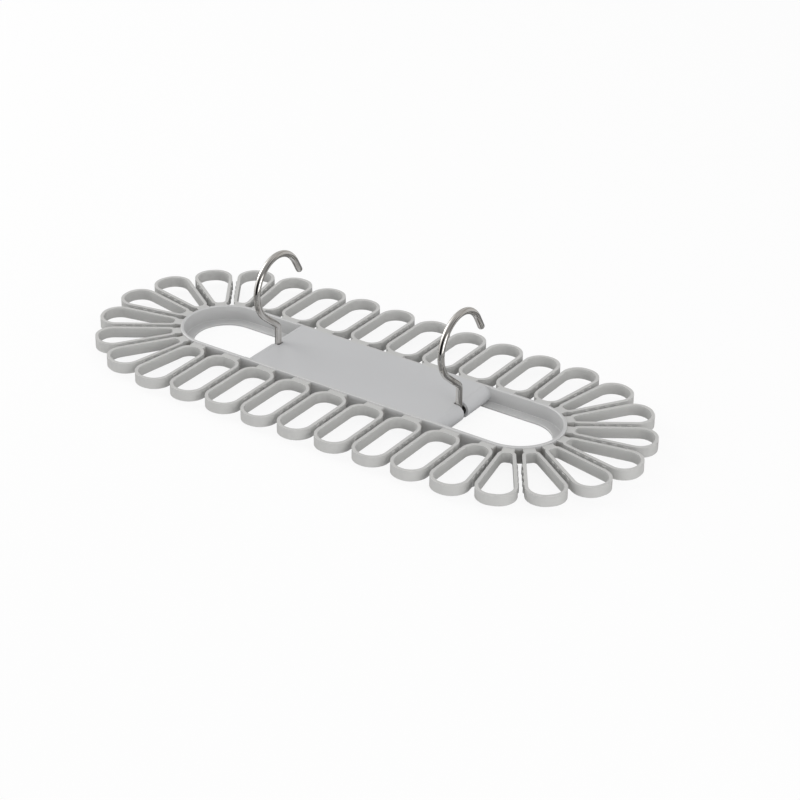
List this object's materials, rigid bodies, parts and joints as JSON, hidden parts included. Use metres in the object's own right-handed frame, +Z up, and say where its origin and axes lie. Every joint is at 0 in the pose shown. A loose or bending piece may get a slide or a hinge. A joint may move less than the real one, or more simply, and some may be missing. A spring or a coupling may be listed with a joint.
{
  "type": "sock drying hanger",
  "caption": "Oval ring of open plastic loops round a flat centre plate with fold-down wire hooks, for hanging socks by the cuff to dry.",
  "frame": {"origin": "centre of the underside: the hanger's middle hoop stands on z = 0 with the hooks upright", "axes": "+X along the length towards the right end, +Y across towards the side the hooks open to, +Z up"},
  "size_m": [0.407, 0.177, 0.0776],
  "materials": {
    "frame_plastic": "satin moulded polypropylene, warm light grey",
    "plate_plastic": "smooth satin moulded polypropylene, slightly cooler grey",
    "hook_wire": "bright drawn steel wire"
  },
  "bodies": {
    "frame": {"rim_front": "frame_plastic", "rim_back": "frame_plastic", "rim_left_end": "frame_plastic", "rim_right_end": "frame_plastic", "centre_plate": "plate_plastic", "plate_ribs": "plate_plastic", "left_nose_front": "plate_plastic", "left_nose_back": "plate_plastic", "right_nose_front": "plate_plastic", "right_nose_back": "plate_plastic", "front_loop_1": "frame_plastic", "front_loop_2": "frame_plastic", "front_loop_3": "frame_plastic", "front_loop_4": "frame_plastic", "front_loop_5": "frame_plastic", "front_loop_6": "frame_plastic", "front_loop_7": "frame_plastic", "back_loop_1": "frame_plastic", "back_loop_2": "frame_plastic", "back_loop_3": "frame_plastic", "back_loop_4": "frame_plastic", "back_loop_5": "frame_plastic", "back_loop_6": "frame_plastic", "back_loop_7": "frame_plastic", "corner_loop_front_left": "frame_plastic", "corner_loop_front_right": "frame_plastic", "corner_loop_back_left": "frame_plastic", "corner_loop_back_right": "frame_plastic", "left_loop_1": "frame_plastic", "left_loop_2": "frame_plastic", "left_loop_3": "frame_plastic", "left_loop_4": "frame_plastic", "left_loop_5": "frame_plastic", "left_loop_6": "frame_plastic", "left_loop_7": "frame_plastic", "right_loop_1": "frame_plastic", "right_loop_2": "frame_plastic", "right_loop_3": "frame_plastic", "right_loop_4": "frame_plastic", "right_loop_5": "frame_plastic", "right_loop_6": "frame_plastic", "right_loop_7": "frame_plastic"},
    "left_hook": {"left_hook": "hook_wire"},
    "right_hook": {"right_hook": "hook_wire"}
  },
  "joints": [
    {"name": "left_hook_fold", "type": "hinge", "parent": "frame", "child": "left_hook", "pos_m": [-0.0716, 0, 0.0058], "axis": [0, -1, 0], "range_deg": [0, 90]},
    {"name": "right_hook_fold", "type": "hinge", "parent": "frame", "child": "right_hook", "pos_m": [0.0716, 0, 0.0058], "axis": [0, 1, 0], "range_deg": [0, 90]}
  ]
}
